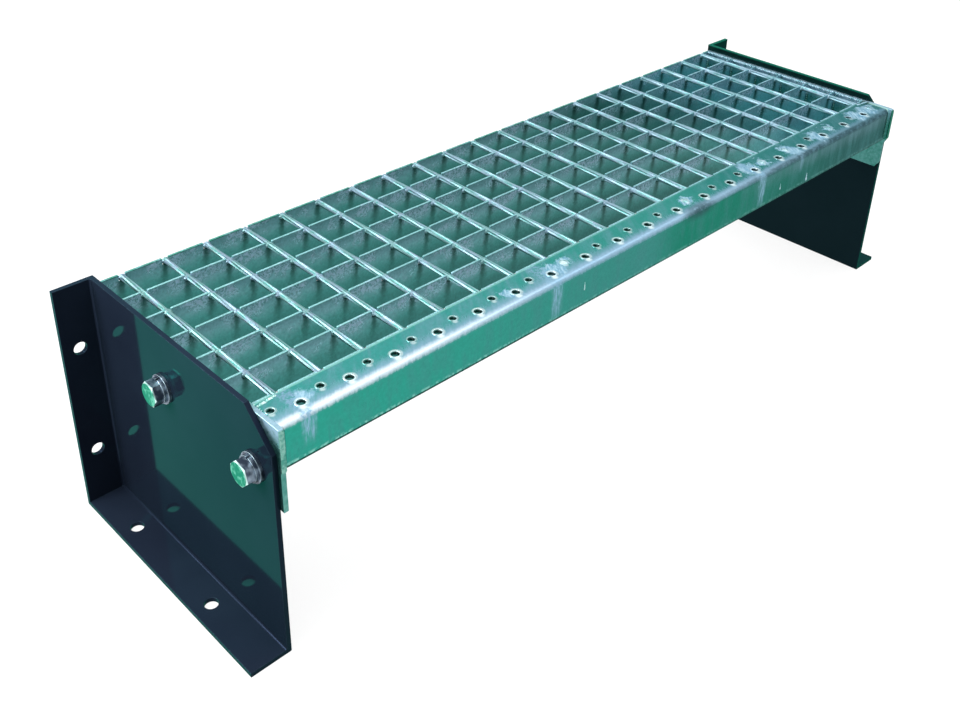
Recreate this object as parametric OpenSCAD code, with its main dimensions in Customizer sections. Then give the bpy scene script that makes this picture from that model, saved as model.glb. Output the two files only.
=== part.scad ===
// Outdoor step: a forge-welded grating tread with a perforated nosing, bolted
// between two welded wall brackets that also stand on the ground.
// X runs along the tread, +Y points to the wall, +Z is up. The origin is the
// middle of the footprint, at ground level.

/* [Tread] */
// Length of the tread over its two end plates
tread_length = 800; // [500:10:1200]
// Depth of the tread, from the rear of its back bar to the face of the nosing
tread_depth = 240; // [200:5:320]
// Gap between the wall and the back bar
wall_gap = 2.5; // [0:0.5:20]
// How far the top of the tread lies below the top edge of the brackets
tread_drop = 6; // [0:1:20]

/* [Grating] */
// Height of the bearing bars
bar_height = 30; // [25:1:40]
// Thickness of the bearing bars
bar_thickness = 2; // [2:0.5:5]
// Distance between bearing bars, centre to centre
bar_pitch = 34.33; // [25:0.01:45]
// Side of the square cross rods
rod_side = 6; // [4:0.5:8]
// Distance between cross rods, centre to centre
rod_pitch = 38.1; // [25:0.1:60]
// Least distance from the end of the tread to a cross rod, before the row is offset
rod_margin = 15; // [13:1:20]
// How far the row of rods sits to the right of the middle
rod_offset = 2.5; // [0:0.5:4]

/* [Nosing] */
// Thickness of the folded nosing sheet
nosing_sheet = 3; // [2:0.5:4]
// Height of the nosing's front face
nosing_height = 35; // [25:1:50]
// Least depth of the nosing's flat top
nosing_top_min = 25; // [24:1:35]
// Outer radius of the nosing's fold
nosing_fold = 5; // [4:0.5:8]
// Diameter of the holes in the front row
front_hole_d = 7; // [4:0.5:8]
// Diameter of the holes in the rear row
rear_hole_d = 6; // [4:0.5:7]
// Distance from the nosing's face to the front row of holes
front_row = 12.5; // [11:0.5:15]
// Distance from the front row of holes to the rear row
row_gap = 6; // [0:0.5:8]
// Distance between the holes of a row
hole_pitch = 40.7; // [24:0.1:60]
// Least distance from the end of the nosing to the centre of a hole
hole_margin = 4; // [4:0.1:30]

/* [End plates] */
// Thickness of the end plates
plate_thickness = 4; // [3:0.5:6]
// Height of the end plates
plate_height = 70; // [65:1:90]
// How far the top of an end plate reaches in front of the nosing's face
plate_lip = 3; // [0:0.5:6]
// Depth of the step in the right end plate's front edge, below the nosing
plate_step = 4; // [0.5:0.5:6]
// Depth of the same step in the left end plate, whose lower corner is square
left_plate_step = 1.5; // [0.5:0.5:6]
// Radius of an end plate's top front corner
plate_corner = 3; // [1:0.5:10]
// Height of the chamfer on an end plate's lower front corner
plate_chamfer = 7; // [1:0.5:12]
// Depth of that chamfer, from front to back
plate_chamfer_depth = 4; // [1:0.5:12]

/* [Wall brackets] */
// Height of the brackets
bracket_height = 210; // [180:5:400]
// Thickness of the bracket plates
bracket_sheet = 4; // [3:0.5:6]
// Width of the two flanges, measured over the web
flange_width = 35; // [30:1:60]
// How far the bracket's front edge lies behind the nosing's face
bracket_setback = 2.5; // [0:0.5:20]
// Chamfer of the top front corner
bracket_chamfer = 28; // [10:1:60]
// Radius of the weld fillets in the inner corners
fillet_radius = 2; // [1:0.5:5]
// Radius of the ground outer corners
outer_radius = 1; // [0.5:0.5:3]
// Diameter of the fixing holes in the flanges
fixing_hole_d = 11; // [7:0.5:14]
// Distance from the outer face of the web to the fixing holes
fixing_inset = 16.5; // [12:0.5:20]
// Height of the lower wall fixing hole
wall_hole_low = 53; // [30:1:80]
// Distance between the two wall fixing holes
wall_hole_spacing = 100; // [60:1:130]
// Distance from the wall to the rear floor fixing hole
floor_hole_back = 56; // [30:1:80]
// Distance between the two floor fixing holes
floor_hole_spacing = 110; // [60:1:120]

/* [Bolts] */
// Thread diameter of the bolts
bolt_d = 12; // [8:1:12]
// Clearance of the bolt holes and washers on the bolts, on the diameter
bolt_clearance = 1; // [0.5:0.5:2]
// Width across the flats of the bolt heads and nuts
bolt_flats = 18; // [13:1:19]
// Height of the bolt heads
bolt_head = 7.5; // [5:0.5:9]
// Height of the nuts
nut_height = 10; // [6:0.5:11]
// Length of thread that stands out of a nut
bolt_end = 3; // [1:0.5:6]
// Outer diameter of the flat washers
washer_d = 24; // [20:1:28]
// Thickness of the flat washers
washer_thickness = 2.5; // [1.5:0.5:3]
// Outer diameter of the spring washers
spring_washer_d = 20.5; // [16:0.5:22]
// Thickness of the spring washers
spring_washer_thickness = 2.5; // [1.5:0.5:3]
// Distance from the nosing's face to the front bolt
bolt_front = 25; // [20:1:40]
// Distance between the two bolts of an end plate
bolt_spacing = 116; // [80:1:120]
// Distance from the top of the tread to the bolts
bolt_drop = 43.5; // [43:0.5:50]
// Turn of the rear bolts, in degrees from a flat side of the head up
back_bolt_turn = 3; // [0:1:59]
// Turn of the front bolts, in degrees from a flat side of the head up
front_bolt_turn = 15; // [0:1:59]

/* [Hidden] */
// Clearance between a nut and the bolt's shank
nut_gap = 0.05;
// Clearance between a spring washer and the bolt's shank
spring_gap = 0.1;
// Width of the cut in a spring washer
spring_cut = 2;
// How far the round end faces of heads and nuts lie inside their flats
hex_face_inset = 0.25;
// Angle of their chamfer to the end face, in degrees
hex_chamfer_angle = 30;
// Extra length of the cutting shapes
cut = 1;
$fn = 64;

zinc = "#7fb5ab";
zinc_bright = "#c9d6da";
powder_coat = "#1c2a33";

// Levels and positions, from the driving dimensions
tread_top = bracket_height - tread_drop;
total_depth = wall_gap + tread_depth + plate_lip;
wall_y = total_depth / 2;
back_y = wall_y - wall_gap;
face_y = back_y - tread_depth;
bracket_front_y = face_y + bracket_setback;
bracket_depth = wall_y - bracket_front_y;
web_x = tread_length / 2;
web_outer_x = web_x + bracket_sheet;
inside_length = tread_length - 2 * plate_thickness;

// Bearing bars and cross rods
cells = floor((tread_depth - bar_thickness - nosing_top_min) / bar_pitch);
rods = floor((tread_length - 2 * rod_margin) / rod_pitch) + 1;
rear_holes = floor((inside_length - 2 * hole_margin) / hole_pitch) + 1;
front_bar_y = back_y - bar_thickness - cells * bar_pitch;
first_rod_x = rod_offset - (rods - 1) * rod_pitch / 2;
first_hole_x = -inside_length / 2 + hole_margin;

// Bolts
bolt_hole_d = bolt_d + bolt_clearance;
bolt_z = tread_top - bolt_drop;
bolt_ys = [face_y + bolt_front + bolt_spacing, face_y + bolt_front];
head_seat_x = web_outer_x + washer_thickness + spring_washer_thickness;
inner_washer_x = web_x - plate_thickness - washer_thickness;
nut_x = inner_washer_x - nut_height;
head_r = bolt_flats / 2 / cos(30);
bolt_turns = [back_bolt_turn, front_bolt_turn];

function two_digits(n) = n < 10 ? str("0", n) : str(n);
SIDES = ["left", "right"];
SIDE_SIGN = [-1, 1];
PLACES = ["back", "front"];

// A shape drawn for the right-hand side, at that side or mirrored to the left
module on_side(sign) {
    if (sign > 0) children();
    else mirror([1, 0, 0]) children();
}

// A cylinder along +X that starts at x
module bar_x(x, length, diameter) {
    translate([x, 0, 0]) rotate([0, 90, 0]) cylinder(h = length, d = diameter);
}

// Outline of an L-shaped corner: the web ends at u = 0, the flange reaches out
// to +u, and the outside of the corner lies at the origin
module corner_block_outline(width, height) {
    translate([outer_radius, 0]) square([width - outer_radius, height]);
    translate([0, outer_radius]) square([width, height - outer_radius]);
    translate([outer_radius, outer_radius]) circle(outer_radius);
}

// The space inside the corner, which leaves the web, the flange and the fillet
module corner_space_outline(width, height) {
    inner = bracket_sheet + fillet_radius;
    translate([inner, bracket_sheet]) square([width, height]);
    translate([bracket_sheet, inner]) square([width, height]);
    translate([inner, inner]) circle(fillet_radius);
}

// Wall bracket for the right-hand side: a web, a wall flange and a floor flange
module bracket() {
    color(powder_coat) difference() {
        intersection() {
            translate([web_x, wall_y, 0]) mirror([0, 1, 0])
                linear_extrude(bracket_height)
                    corner_block_outline(flange_width, bracket_depth);
            translate([web_x, wall_y, 0]) rotate([90, 0, 0])
                linear_extrude(bracket_depth)
                    corner_block_outline(flange_width, bracket_height);
        }
        intersection() {
            translate([web_x, wall_y, -cut]) mirror([0, 1, 0])
                linear_extrude(bracket_height + 2 * cut)
                    corner_space_outline(flange_width, bracket_depth);
            translate([web_x, wall_y + cut, 0]) rotate([90, 0, 0])
                linear_extrude(bracket_depth + 2 * cut)
                    corner_space_outline(flange_width, bracket_height);
        }
        bracket_corner_cut();
        for (y = bolt_ys) translate([0, y, bolt_z])
            bar_x(web_x - cut, bracket_sheet + 2 * cut, bolt_hole_d);
        for (z = [wall_hole_low, wall_hole_low + wall_hole_spacing])
            translate([web_outer_x + fixing_inset, wall_y + cut, z]) rotate([90, 0, 0])
                cylinder(h = bracket_sheet + 2 * cut, d = fixing_hole_d);
        for (d = [floor_hole_back, floor_hole_back + floor_hole_spacing])
            translate([web_outer_x + fixing_inset, wall_y - d, -cut])
                cylinder(h = bracket_sheet + 2 * cut, d = fixing_hole_d);
    }
}

// What the chamfer takes off the web's top front corner
module bracket_corner_cut() {
    translate([web_x - cut, bracket_front_y, bracket_height]) rotate([90, 0, 90])
        linear_extrude(bracket_sheet + 2 * cut)
            polygon([[-cut, cut], [-cut, -bracket_chamfer - cut], [bracket_chamfer + cut, cut]]);
}

// Outline of an end plate, with the nosing's face at u = 0 and the top at v = 0
module end_plate_outline(step, foot) {
    shoulder = -nosing_height + step / 2;
    difference() {
        polygon(concat(
            [[tread_depth, 0], [-plate_lip, 0],
             [-plate_lip, shoulder], [step - plate_lip, shoulder - 2 * step]],
            foot,
            [[tread_depth, -plate_height]]));
        translate([-plate_lip, -plate_corner]) difference() {
            translate([-cut, 0]) square([plate_corner + cut, plate_corner + cut]);
            translate([plate_corner, 0]) circle(plate_corner);
        }
    }
}

// End plate at one side; the right one has a chamfer at its lower front corner
module end_plate(sign) {
    step = sign > 0 ? plate_step : left_plate_step;
    front = step - plate_lip;
    foot = sign > 0
        ? [[front, plate_chamfer - plate_height], [front + plate_chamfer_depth, -plate_height]]
        : [[front, -plate_height]];
    on_side(sign) color(zinc) difference() {
        translate([web_x - plate_thickness, face_y, tread_top]) rotate([90, 0, 90])
            linear_extrude(plate_thickness) end_plate_outline(step, foot);
        for (y = bolt_ys) translate([0, y, bolt_z])
            bar_x(web_x - plate_thickness - cut, plate_thickness + 2 * cut, bolt_hole_d);
    }
}

// Bearing bar number i, counted from the wall, notched for the cross rods
module bearing_bar(i) {
    y = back_y - bar_thickness - i * bar_pitch;
    color(zinc) difference() {
        translate([-inside_length / 2, y, tread_top - bar_height])
            cube([inside_length, bar_thickness, bar_height]);
        for (n = [0:rods - 1])
            translate([first_rod_x + n * rod_pitch - rod_side / 2, y - cut, tread_top - rod_side])
                cube([rod_side, bar_thickness + 2 * cut, rod_side + cut]);
    }
}

// Cross rod number n, counted from the left end
module cross_rod(n) {
    color(zinc_bright)
        translate([first_rod_x + (n - 1) * rod_pitch - rod_side / 2, front_bar_y,
                   tread_top - rod_side])
            cube([rod_side, back_y - front_bar_y, rod_side]);
}

// Folded nosing, with a front row and a rear row of holes
module nosing() {
    top = front_bar_y - face_y;
    inner = nosing_fold - nosing_sheet;
    color(zinc) difference() {
        translate([-inside_length / 2, face_y, tread_top]) rotate([90, 0, 90])
            linear_extrude(inside_length) difference() {
                union() {
                    translate([nosing_fold, -nosing_height]) square([top - nosing_fold, nosing_height]);
                    translate([0, -nosing_height]) square([top, nosing_height - nosing_fold]);
                    translate([nosing_fold, -nosing_fold]) circle(nosing_fold);
                }
                translate([nosing_fold, -nosing_height - cut])
                    square([top, nosing_height + cut - nosing_sheet]);
                translate([nosing_sheet, -nosing_height - cut])
                    square([top, nosing_height + cut - nosing_fold]);
                translate([nosing_fold, -nosing_fold]) circle(inner);
            }
        for (i = [0:rear_holes - 1])
            nosing_hole(first_hole_x + i * hole_pitch, front_row + row_gap, rear_hole_d);
        for (i = [0:rear_holes - 2])
            nosing_hole(first_hole_x + (i + 0.5) * hole_pitch, front_row, front_hole_d);
    }
}

// A hole through the nosing's top, at a distance from its face
module nosing_hole(x, from_face, diameter) {
    translate([x, face_y + from_face, tread_top - nosing_sheet - cut])
        cylinder(h = nosing_sheet + 2 * cut, d = diameter);
}

// Hexagonal prism along +X, turned from having a flat side up, with the corners
// of its outer end or of both ends chamfered to a round face
module hexagon(x, height, turn, both_ends) {
    face_r = bolt_flats / 2 - hex_face_inset;
    slope = 1 / tan(hex_chamfer_angle);
    translate([x, 0, 0]) rotate([0, 90, 0]) intersection() {
        rotate(30 + turn) cylinder(h = height, r = head_r, $fn = 6);
        if (both_ends) {
            cylinder(h = height / 2, r1 = face_r, r2 = face_r + slope * height / 2);
            translate([0, 0, height / 2])
                cylinder(h = height / 2, r1 = face_r + slope * height / 2, r2 = face_r);
        } else {
            cylinder(h = height, r1 = face_r + slope * height, r2 = face_r);
        }
    }
}

// Bolt for the right-hand side, with its head outside the bracket
module bolt(y, turn) {
    color(zinc_bright) translate([0, y, bolt_z]) {
        hexagon(head_seat_x, bolt_head, turn, false);
        bar_x(nut_x - bolt_end, head_seat_x - nut_x + bolt_end, bolt_d);
    }
}

// Nut for the right-hand side, inside the end plate
module nut(y, turn) {
    color(zinc_bright) translate([0, y, bolt_z]) difference() {
        hexagon(nut_x, nut_height, turn, true);
        bar_x(nut_x - cut, nut_height + 2 * cut, bolt_d + 2 * nut_gap);
    }
}

// A washer on each of the four bolts
module washers(x, thickness, diameter, hole) {
    color(zinc_bright) for (sign = SIDE_SIGN, y = bolt_ys) on_side(sign)
        translate([0, y, bolt_z]) difference() {
            bar_x(x, thickness, diameter);
            bar_x(x - cut, thickness + 2 * cut, hole);
        }
}

// A split spring washer on each of the four bolts
module spring_washer_set() {
    color(zinc_bright) for (sign = SIDE_SIGN, y = bolt_ys) on_side(sign)
        translate([0, y, bolt_z]) difference() {
            bar_x(web_outer_x + washer_thickness, spring_washer_thickness, spring_washer_d);
            bar_x(web_outer_x + washer_thickness - cut, spring_washer_thickness + 2 * cut,
                  bolt_d + 2 * spring_gap);
            translate([web_outer_x + washer_thickness - cut, -spring_cut / 2, 0])
                cube([spring_washer_thickness + 2 * cut, spring_cut, spring_washer_d]);
        }
}

for (s = [0:1]) {
    on_side(SIDE_SIGN[s]) bracket();
    end_plate(SIDE_SIGN[s]);
    for (p = [0:1]) {
        on_side(SIDE_SIGN[s]) bolt(bolt_ys[p], bolt_turns[p]);
        on_side(SIDE_SIGN[s]) nut(bolt_ys[p], bolt_turns[p]);
    }
}
bearing_bar(0);  // back_bar
bearing_bar(cells);  // front_bar
for (i = [1:cells - 1]) bearing_bar(i);
for (n = [1:rods]) cross_rod(n);
nosing();
washers(web_outer_x, washer_thickness, washer_d, bolt_hole_d);  // head_washers
spring_washer_set();  // spring_washers
washers(inner_washer_x, washer_thickness, washer_d, bolt_hole_d);  // nut_washers
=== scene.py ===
# %% [markdown]
# # An outdoor step of galvanised grating on two powder-coated brackets
#
# The step is a tread of steel grating with a punched nosing along its front edge. Two
# brackets of welded plate carry it: they are bolted to the end plates of the tread, and
# they have flanges for screws to the wall and to the ground. The tread was welded first and
# then dipped in molten zinc, so its surfaces are not painted but covered with a skin of
# zinc that ran, dripped and froze. The brackets got a glossy dark powder coat.
#
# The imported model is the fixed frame: every piece made here takes its place from it.

# %% Load the frame
import functools
import math
import random
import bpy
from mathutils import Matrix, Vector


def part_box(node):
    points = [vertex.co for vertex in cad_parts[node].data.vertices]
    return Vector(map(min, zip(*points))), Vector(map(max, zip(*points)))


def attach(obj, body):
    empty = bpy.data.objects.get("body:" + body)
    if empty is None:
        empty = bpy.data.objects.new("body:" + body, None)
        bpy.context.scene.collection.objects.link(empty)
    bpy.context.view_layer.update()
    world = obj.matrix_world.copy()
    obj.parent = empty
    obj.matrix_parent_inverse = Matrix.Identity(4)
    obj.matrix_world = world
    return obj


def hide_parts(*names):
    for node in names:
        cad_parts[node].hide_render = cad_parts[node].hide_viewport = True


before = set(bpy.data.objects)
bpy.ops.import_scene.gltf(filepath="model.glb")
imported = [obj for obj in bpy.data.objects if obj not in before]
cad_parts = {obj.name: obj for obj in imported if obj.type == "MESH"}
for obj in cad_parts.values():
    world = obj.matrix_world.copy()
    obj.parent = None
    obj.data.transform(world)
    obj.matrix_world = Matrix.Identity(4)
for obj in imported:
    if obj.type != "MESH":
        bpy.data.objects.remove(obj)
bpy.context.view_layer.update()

from types import SimpleNamespace

import bmesh
import bpy
from mathutils import Matrix, Vector

MM = 0.001  # a millimetre, in the metres of the frame
BODY = "root"  # nothing on the step moves, so every piece rides on this one body

# %% [markdown]
# ## The places that the pieces share
#
# A grating is a lattice: bearing bars run along the tread, and cross rods are forged into
# their top edges. Nearly every detail of the finish happens where the two meet, so the
# places of the bars and the rods are read from the frame once, and all cells use them.

# %% Bars, rods and levels
bar_names = ["back_bar"] + [f"inner_bar_{i}" for i in range(1, 6)] + ["front_bar"]
rod_names = sorted(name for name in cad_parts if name.startswith("cross_rod_"))


def middle(node_name):
    """The centre of a node's box."""
    low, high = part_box(node_name)
    return (low + high) / 2


bar_ys = [middle(name).y for name in bar_names]
rod_xs = [middle(name).x for name in rod_names]
rod_pitch = rod_xs[1] - rod_xs[0]
nosing_low, nosing_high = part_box("nosing")
plate_low, plate_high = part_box("end_plate_right")
bar_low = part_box("front_bar")[0]
tread_top = nosing_high.z
face_y = nosing_low.y
print(len(bar_ys), "bars,", len(rod_xs), "rods", round(rod_pitch / MM, 1), "mm apart")

# %% [markdown]
# ## The camera
#
# The step is seen from its left front corner, from a little over knee height. A 42 mm
# lens keeps the near bracket large without shrinking the far one much, and a small shift
# of the lens moves the step up in the frame without another tilt.

# %% Camera
camera_data = bpy.data.cameras.new("camera")
camera_data.sensor_width = 36
camera_data.lens = 42.389
camera_data.shift_y = -0.1464
camera = bpy.data.objects.new("camera", camera_data)
camera.location = (-0.71153, -0.61309, 0.66960)
camera.rotation_euler = [math.radians(angle) for angle in (61.739, -1.295, -44.095)]
bpy.context.scene.collection.objects.link(camera)
bpy.context.scene.camera = camera
bpy.context.scene.view_settings.view_transform = "Standard"
print("camera:", round(camera.location.length, 2), "m from the origin,", camera_data.lens, "mm lens")

# %% [markdown]
# ## Colours and shader nodes
#
# Colours are written as they look on a screen, and one function turns them into the
# linear values that a shader works with. A second small function adds a node: it sets
# the properties, fills the inputs in their order or by their names, and hands back an
# output, so that a finish reads as a recipe from top to bottom. The properties that come
# back all the time, such as the product of two masks, have short names of their own.
#
# The orders to know: a noise takes its place, scale, detail and roughness; a Map Range
# takes its value, the two ends that it comes from and the two ends that it goes to; a Mix
# takes its factor and two colours; a Bump takes its strength, depth, filter and height. A
# scale is one over a real size, because it counts how often a pattern fits into a metre.

# %% Colours


def linear(hex_colour):
    """Turns an sRGB hex colour into linear red, green, blue and alpha."""
    parts = [int(hex_colour[i:i + 2], 16) / 255 for i in (1, 3, 5)]
    curve = [p / 12.92 if p <= 0.04045 else ((p + 0.055) / 1.055) ** 2.4 for p in parts]
    return (*curve, 1.0)


WHITE = linear("#ffffff")
print("half grey on the screen is", round(linear("#808080")[0], 3), "in linear light")

# %% Nodes and materials
RGBA = {"data_type": "RGBA"}  # a Mix of two colours
SMOOTH = {"interpolation_type": "SMOOTHSTEP"}  # a Map Range that eases in and out
TIMES = {"operation": "MULTIPLY"}
MINUS = {"operation": "SUBTRACT"}
LARGER = {"operation": "MAXIMUM"}


def add_node(tree, kind, *values, inputs=None, output=None, **settings):
    """Adds a shader node, fills its inputs in order or by name, and returns one output.

    An input that is given None keeps its own value.
    """
    node = tree.nodes.new("ShaderNode" + kind)
    for name, value in settings.items():
        setattr(node, name, value)
    in_order = zip([socket for socket in node.inputs if socket.enabled], values)
    by_name = [(node.inputs[name], value) for name, value in (inputs or {}).items()]
    for socket, value in [*in_order, *by_name]:
        if isinstance(value, bpy.types.NodeSocket):
            tree.links.new(value, socket)
        elif value is not None:
            socket.default_value = value
    if output:
        return node.outputs[output]
    return next((socket for socket in node.outputs if socket.enabled), None)


def new_material(name):
    """Starts an empty material and returns it with its own node-adding function."""
    material = bpy.data.materials.new(name)
    material.use_nodes = True
    material.node_tree.nodes.clear()
    return material, functools.partial(add_node, material.node_tree)


def close_material(material, add, inputs):
    """Ends a recipe: a shader with these inputs, joined to the material's output."""
    add("OutputMaterial", add("BsdfPrincipled", inputs=inputs))
    print(material.name, "takes", len(material.node_tree.nodes), "nodes")
    return material


# %% [markdown]
# ## Floor, backdrop and lamps
#
# A metal shows its surroundings, so the studio is half of the finish. The floor is a wide
# pale sheet that keeps the shadow of the step. It glows for the camera and for the gloss
# only, because more light on it would burn out the zinc. The world is white in the gloss,
# and for everything else it is a dome that is brightest overhead, like a large lamp with
# a diffuser. From the camera, the rolled edge of the nosing mirrors a strip high up on the
# right, and a lamp hangs there to draw a bright line along the left half of the fold. A
# small lamp behind on the left does the same for the inner corners of the left bracket,
# and a near one on the left lights its dark coat.

# %% Floor
FLOOR_SIZE = 16.0
FLOOR_GLOW = 0.82


def pale_floor():
    """A wide sheet with a glow that only the camera and the gloss see."""
    bm = bmesh.new()
    bmesh.ops.create_grid(bm, x_segments=1, y_segments=1, size=FLOOR_SIZE / 2)
    mesh = bpy.data.meshes.new("floor")
    bm.to_mesh(mesh)
    bm.free()
    floor = bpy.data.objects.new("floor", mesh)
    bpy.context.scene.collection.objects.link(floor)
    material, add = new_material("pale_studio_floor")
    path = add("LightPath").node.outputs
    seen = add("Math", path["Is Camera Ray"], path["Is Glossy Ray"], **LARGER)
    close_material(material, add, {
        "Base Color": linear("#6f6f6f"),
        "Roughness": 1.0,
        "Specular IOR Level": 0.0,
        "Emission Color": WHITE,
        "Emission Strength": add("Math", seen, FLOOR_GLOW, **TIMES)})
    mesh.materials.append(material)


pale_floor()

# %% World
DOME_TOP = 7.5  # strength straight overhead
DOME_RIM = 0.10  # and at the horizon
DOME_FALL = 6.0  # how fast it falls off between the two


def pale_world():
    """White for the camera, the gloss and glass; for all other rays a dome, bright overhead."""
    world = bpy.data.worlds.new("studio")
    bpy.context.scene.world = world
    world.use_nodes = True
    world.node_tree.nodes.clear()
    add = functools.partial(add_node, world.node_tree)
    path = add("LightPath").node.outputs
    seen = add("Math", path["Is Camera Ray"], path["Is Glossy Ray"], **LARGER)
    seen = add("Math", seen, path["Is Transmission Ray"], **LARGER)
    towards = add("TexCoord", output="Generated")
    height = add("SeparateXYZ", towards, output="Z")
    overhead = add("Math", add("Math", height, 0.0, **LARGER), DOME_FALL, operation="POWER")
    lighting = add("Math", overhead, DOME_TOP, DOME_RIM, operation="MULTIPLY_ADD")
    strength = add("Mix", seen, lighting, 1.0)
    add("OutputWorld", add("Background", WHITE, strength))


pale_world()
print("dome from", DOME_RIM, "at the horizon to", DOME_RIM + DOME_TOP, "overhead")

# %% Lamps


def soft_lamp(name, place, target, width, height, watts):
    """A rectangular lamp with a diffuser, turned towards a target."""
    data = bpy.data.lights.new(name, "AREA")
    data.shape = "RECTANGLE"
    data.size = width
    data.size_y = height
    data.energy = watts
    lamp = bpy.data.objects.new(name, data)
    lamp.location = place
    lamp.rotation_euler = (Vector(target) - Vector(place)).to_track_quat("-Z", "Y").to_euler()
    bpy.context.scene.collection.objects.link(lamp)
    print(name, "at", place, "with", watts, "W")


soft_lamp("fold_softbox", place=(0.55, -0.20, 1.35), target=(-0.1, -0.12, 0.2),
          width=0.3, height=0.8, watts=1.5)
soft_lamp("corner_softbox", place=(-0.90, 0.98, 1.05), target=(-0.42, 0, 0.05),
          width=0.45, height=0.45, watts=6)
soft_lamp("left_softbox", place=(-0.84, 0.13, 0.45), target=(-0.4, 0, 0.08),
          width=0.4, height=0.4, watts=6)

# %% [markdown]
# ## The zinc of the tread
#
# Hot-dip galvanising leaves a skin of zinc, about a tenth of a millimetre thick. Outdoors
# its flat sheet looks green-grey: a painted reflection of green ground that the zinc mirrors.
# Pale lilac frosting lies where it froze thick: along top edges, round punched holes and where
# it ran down. All galvanised pieces share two habits. Fine grains of about 2 mm make the
# colour lively, and frosted places are rougher than the smooth sheet. They also share a way to
# say where a point lies, because the tones change along the tread and from its top downwards.

# %% Where a point lies


def place_on_tread(add):
    """Where a point lies: its place, its share of the tread's length, its depth below the top."""
    place = add("TexCoord", output="Object")
    x, y, z = add("SeparateXYZ", place).node.outputs
    along = add("MapRange", x, nosing_low.x, nosing_high.x)
    below = add("Math", tread_top, z, **MINUS)
    return SimpleNamespace(place=place, x=x, y=y, z=z, along=along, below=below)


def tone_along(add, at, first, *changes):
    """A tone that changes along the tread: a change is its start, its end and the next tone."""
    colour = linear(first)
    for start, end, tone in changes:
        share = add("MapRange", at.along, start, end, **SMOOTH)
        colour = add("Mix", share, colour, linear(tone), **RGBA)
    return colour


print("the tread is", round((nosing_high.x - nosing_low.x) / MM, 1), "mm long inside its plates")

# %% Shared habits of the zinc
ZINC_GRAIN = 2.2 * MM  # about twice the real size, which would be too fine to show
SHEET_ROUGHNESS = 0.24
FROST_ROUGHNESS = 0.42
GRAZING = linear("#c4ced0")  # keeps the oxide's tint where the light skims the sheet


def frost_roughness(add, frosting):
    """Roughness from a mask of the frosting."""
    return add("MapRange", frosting, 0.0, 1.0, SHEET_ROUGHNESS, FROST_ROUGHNESS)


def finish_zinc(material, add, at, colour, roughness, relief, contrast, metal=0.93, glaze=0.5):
    """Adds the grains to a colour and closes the recipe of a galvanised piece.

    The metal is the share of bare metal, and the glaze is the white shine of the rest.
    """
    grains = add("TexNoise", at.place, 1 / ZINC_GRAIN, 5.0, 0.6)
    shade = add("MapRange", grains, 0.3, 0.72, 1 - contrast, 1 + contrast)
    return close_material(material, add, {
        "Base Color": add("VectorMath", colour, shade, operation="SCALE"),
        "Metallic": metal,
        "Roughness": roughness,
        "Normal": add("Bump", 1.0, relief, None, grains),
        "Specular IOR Level": glaze,
        "Specular Tint": GRAZING})


print("zinc roughness from", SHEET_ROUGHNESS, "on the sheet to", FROST_ROUGHNESS, "on frosting")

# %% [markdown]
# ## The faces of the bearing bars
#
# The bars are flat strip. Their faces are green-grey, a painted reflection of green ground,
# bluer and duller towards the top edge and towards the right end, where the lighter tone is
# painted light. Deep down, painted shade makes them darker and greener, most of all in the
# middle of the tread, where the least light comes in from the sides.

# %% Tones of the bars


def bar_face(add, at):
    """The face of a bar, from its bluer top down into the green, with painted shade deep down."""
    # The paler, bluer tones at the right end are painted light near the right plate.
    lower = tone_along(add, at, "#4a9a95", (0.72, 0.97, "#66b4c4"))
    upper = tone_along(add, at, "#75a8b0", (0.72, 0.97, "#83b9cb"))
    lumps = add("TexNoise", at.place, 1 / (10 * MM), 4.0, 0.6)
    spread = add("Math", lumps, 18 * MM, at.below, operation="MULTIPLY_ADD")
    greyer = add("MapRange", spread, 10 * MM, 30 * MM, 1.0, 0.0, **SMOOTH)
    colour = add("Mix", greyer, lower, upper, **RGBA)
    # Painted shade deep in the cells: none near the top, most in the middle of the tread.
    left_of_middle = add("MapRange", at.along, 0.0, 0.5, 0.35, 0.72)
    right_of_middle = add("MapRange", at.along, 0.68, 0.82, 1.0, 0.15, **SMOOTH)
    painted_shade_strength = add("Math", left_of_middle, right_of_middle, **TIMES)
    deep = add("MapRange", at.below, 8 * MM, 24 * MM, 0.0, painted_shade_strength)
    return add("Mix", deep, colour, linear("#0d4a44"), **RGBA)


print("the bars are", round((tread_top - bar_low.z) / MM, 1), "mm deep")

# %% [markdown]
# ## Frosting of the bars, and painted shadows of the rods
#
# In about a third of the cells, zinc froze in pale scribbles below the top edge. Under
# every rod lies a small painted shadow of the rod, which leans a little and fades out
# halfway down. Both are masks: a value between 0 and 1 says how much of a tone lies at a
# place. The shadows repeat with the rods, so their mask folds the length of the tread into
# one step of the lattice. Shoes rub the top edges, which makes them paler. Down in the
# cells the oxide is thick enough to dull the metal, so half of the shading is the flat
# tone of the oxide.

# %% Frosting and painted shadows
SHADOW_LEAN = 0.12  # to the left, for each millimetre down


def bar_frosting(add, at):
    """Scribbles of lilac in clouds of 24 mm, thickest near the top edge."""
    clouds = add("TexNoise", at.place, 1 / (24 * MM), 2.0, 0.5)
    scribbles = add("TexNoise", at.place, 1 / (4 * MM), 6.0, 0.7, None, 1.5)
    near_top = add("MapRange", at.below, 2 * MM, 17 * MM, 1.0, 0.0, **SMOOTH)
    cloudy = add("MapRange", clouds, 0.44, 0.58, 0.1, 1.0, **SMOOTH)
    scribbled = add("MapRange", scribbles, 0.38, 0.64, 0.0, 0.9, **SMOOTH)
    frosting = add("Math", near_top, cloudy, **TIMES)
    return add("Math", frosting, scribbled, **TIMES)


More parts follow.
